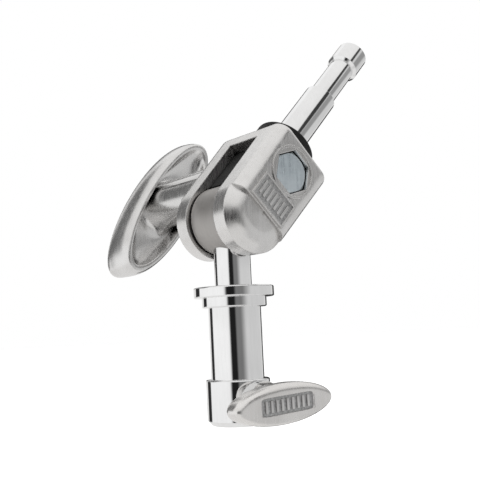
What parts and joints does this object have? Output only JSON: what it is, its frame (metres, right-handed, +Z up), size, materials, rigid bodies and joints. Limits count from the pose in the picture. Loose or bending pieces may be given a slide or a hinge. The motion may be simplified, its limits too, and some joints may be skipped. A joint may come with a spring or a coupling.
{
  "type": "lighting stand swivel adapter",
  "caption": "Tilting swivel head for lighting stands: locking socket below, forked clevis clamped by a long wing handle, stepped stud above.",
  "frame": {"origin": "centre of the socket bore's mouth, at the receiver's bottom face", "axes": "+Z up the receiver and shaft; the fork tilts about Y; at rest the stud leans 43.6 degrees from +Z towards +X; the clamp handle is on +Y and the lock lever on -Y"},
  "size_m": [0.1196, 0.1276, 0.1852],
  "materials": {
    "chrome": "polished chrome plate",
    "cast_aluminium": "tumbled and polished casting",
    "satin_steel": "satin, bead blasted",
    "zinc_plate": "blue zinc plate",
    "steel": "machined steel",
    "black_nylon": "moulded black nylon",
    "friction": "fibre friction washer",
    "brass": "turned brass"
  },
  "bodies": {
    "receiver": {"receiver_body": "chrome", "lock_boss": "chrome", "shaft": "chrome", "shaft_screw": "steel", "tongue_disc": "satin_steel", "tongue_cross_pin": "steel", "friction_washer_front": "friction", "friction_washer_rear": "friction"},
    "clevis": {"clevis_fork": "cast_aluminium", "pivot_pin": "steel", "pivot_cover_ring": "steel", "clamp_bolt": "zinc_plate", "bolt_sleeve": "black_nylon", "slot_insert": "black_nylon", "stud": "chrome", "stud_collar": "black_nylon", "stud_screw": "steel"},
    "clamp_washer": {"thrust_washer": "steel"},
    "clamp_handle": {"clamp_handle": "cast_aluminium", "clamp_handle_nut": "steel"},
    "lock_pad": {"lock_pad": "brass"},
    "lock_lever": {"lock_screw": "steel", "lock_lever": "cast_aluminium", "lock_lever_pin": "steel"}
  },
  "joints": [
    {"name": "tilt", "type": "hinge", "parent": "receiver", "child": "clevis", "pos_m": [0, 0, 0.088], "axis": [0, 1, 0], "range_deg": [-133.6, 46.4]},
    {"name": "clamp_travel", "type": "slide", "parent": "clevis", "child": "clamp_washer", "axis": [0, 1, 0], "range_m": [0, 0.0031]},
    {"name": "clamp_turn", "type": "hinge", "parent": "clamp_washer", "child": "clamp_handle", "pos_m": [0.01745, 0, 0.10632], "axis": [0, 1, 0], "range_deg": [0, 720]},
    {"name": "lock_travel", "type": "slide", "parent": "receiver", "child": "lock_pad", "axis": [0, 1, 0], "range_m": [0, 0.0023]},
    {"name": "lock_turn", "type": "hinge", "parent": "lock_pad", "child": "lock_lever", "pos_m": [0, 0, 0.0098], "axis": [0, 1, 0], "range_deg": [0, 540]}
  ],
  "couplings": [
    {"joint": "clamp_travel", "follows": "clamp_turn", "m_per_rad": 0.00023873},
    {"joint": "lock_travel", "follows": "lock_turn", "m_per_rad": 0.00023873}
  ]
}
